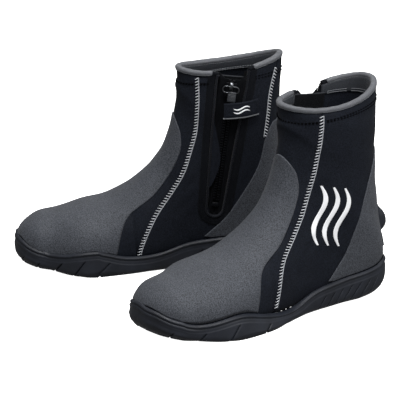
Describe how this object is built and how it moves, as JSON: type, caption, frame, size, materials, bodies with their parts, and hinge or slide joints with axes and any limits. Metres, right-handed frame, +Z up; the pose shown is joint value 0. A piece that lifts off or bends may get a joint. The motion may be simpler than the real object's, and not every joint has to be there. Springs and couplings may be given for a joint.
{
  "type": "pair of neoprene dive boots",
  "caption": "Pair of ankle-high neoprene dive boots with moulded rubber soles, grey vamp and heel overlays, bound collars and side zips under a small keeper flap.",
  "frame": {"origin": "midway between the two boots, at the level of the ground they stand on", "axes": "+Z up; toes point toward -Y; the left boot stands at +X and the right boot, a little ahead, at -X"},
  "size_m": [0.3358, 0.3503, 0.2312],
  "materials": {
    "sole_rubber": "matt moulded rubber",
    "lining_board": "stitched non-woven board",
    "insole_foam": "foam with a knit top",
    "neoprene": "neoprene with a fine jersey face",
    "grey_overlay": "fine-grained rubberised cover",
    "binding_tape": "satin knit tape",
    "seam_thread": "flatlock thread",
    "dark_thread": "polyester thread",
    "white_print": "printed film",
    "zip_facing": "stitched facing",
    "gusset_fabric": "thin coated fabric",
    "zip_tape": "woven tape",
    "zip_plastic": "moulded teeth",
    "slider_metal": "dark nickel",
    "strap_rubber": "soft moulded strap"
  },
  "bodies": {
    "left_boot": {"left_outsole": "sole_rubber", "left_heel_rest": "sole_rubber", "left_strobel_board": "lining_board", "left_insole": "insole_foam", "left_front_panel": "neoprene", "left_outer_quarter": "neoprene", "left_inner_quarter": "neoprene", "left_vamp_overlay": "grey_overlay", "left_heel_overlay": "grey_overlay", "left_collar_binding": "binding_tape", "left_outer_front_seam": "seam_thread", "left_inner_front_seam": "seam_thread", "left_rear_seam": "seam_thread", "left_hem_stitching": "dark_thread", "left_side_mark": "white_print", "left_zip_surround": "zip_facing", "left_zip_piping": "zip_facing", "left_zip_gusset": "gusset_fabric", "left_zip_tape_front": "zip_tape", "left_zip_tape_rear": "zip_tape", "left_zip_teeth_front": "zip_plastic", "left_zip_teeth_rear": "zip_plastic", "left_zip_top_stops": "zip_plastic", "left_zip_bottom_stop": "zip_plastic"},
    "left_slider": {"left_zip_slider": "slider_metal"},
    "left_puller": {"left_pull_ring": "slider_metal", "left_pull_strap": "strap_rubber"},
    "left_keeper": {"left_keeper_flap": "neoprene", "left_keeper_piping": "binding_tape", "left_keeper_badge": "white_print"},
    "right_boot": {"right_outsole": "sole_rubber", "right_heel_rest": "sole_rubber", "right_strobel_board": "lining_board", "right_insole": "insole_foam", "right_front_panel": "neoprene", "right_outer_quarter": "neoprene", "right_inner_quarter": "neoprene", "right_vamp_overlay": "grey_overlay", "right_heel_overlay": "grey_overlay", "right_collar_binding": "binding_tape", "right_outer_front_seam": "seam_thread", "right_inner_front_seam": "seam_thread", "right_rear_seam": "seam_thread", "right_hem_stitching": "dark_thread", "right_side_mark": "white_print", "right_zip_surround": "zip_facing", "right_zip_piping": "zip_facing", "right_zip_gusset": "gusset_fabric", "right_zip_tape_front": "zip_tape", "right_zip_tape_rear": "zip_tape", "right_zip_teeth_front": "zip_plastic", "right_zip_teeth_rear": "zip_plastic", "right_zip_top_stops": "zip_plastic", "right_zip_bottom_stop": "zip_plastic"},
    "right_slider": {"right_zip_slider": "slider_metal"},
    "right_puller": {"right_pull_ring": "slider_metal", "right_pull_strap": "strap_rubber"},
    "right_keeper": {"right_keeper_flap": "neoprene", "right_keeper_piping": "binding_tape", "right_keeper_badge": "white_print"}
  },
  "joints": [
    {"name": "right_boot_lift", "type": "slide", "parent": "left_boot", "child": "right_boot", "axis": [0, 0, 1], "range_m": [0, 0.3]},
    {"name": "left_zip_slide", "type": "slide", "parent": "left_boot", "child": "left_slider", "axis": [0.0754, -0.1174, -0.9902], "range_m": [0, 0.116]},
    {"name": "left_puller_swing", "type": "hinge", "parent": "left_slider", "child": "left_puller", "pos_m": [0.02969, 0.09931, 0.20054], "axis": [-0.426, 0.8941, -0.1384], "range_deg": [0, 170]},
    {"name": "left_keeper_open", "type": "hinge", "parent": "left_boot", "child": "left_keeper", "pos_m": [0.02831, 0.12906, 0.1777], "axis": [0.0289, 0.0091, -0.9995], "range_deg": [0, 140]},
    {"name": "right_zip_slide", "type": "slide", "parent": "right_boot", "child": "right_slider", "axis": [-0.0049, -0.1371, -0.9905], "range_m": [0, 0.116]},
    {"name": "right_puller_swing", "type": "hinge", "parent": "right_slider", "child": "right_puller", "pos_m": [-0.04, 0.04582, 0.20069], "axis": [-0.3479, -0.9285, 0.1302], "range_deg": [0, 170]},
    {"name": "right_keeper_open", "type": "hinge", "parent": "right_boot", "child": "right_keeper", "pos_m": [-0.03638, 0.07455, 0.17778], "axis": [-0.019, 0.0025, 0.9998], "range_deg": [0, 140]}
  ]
}
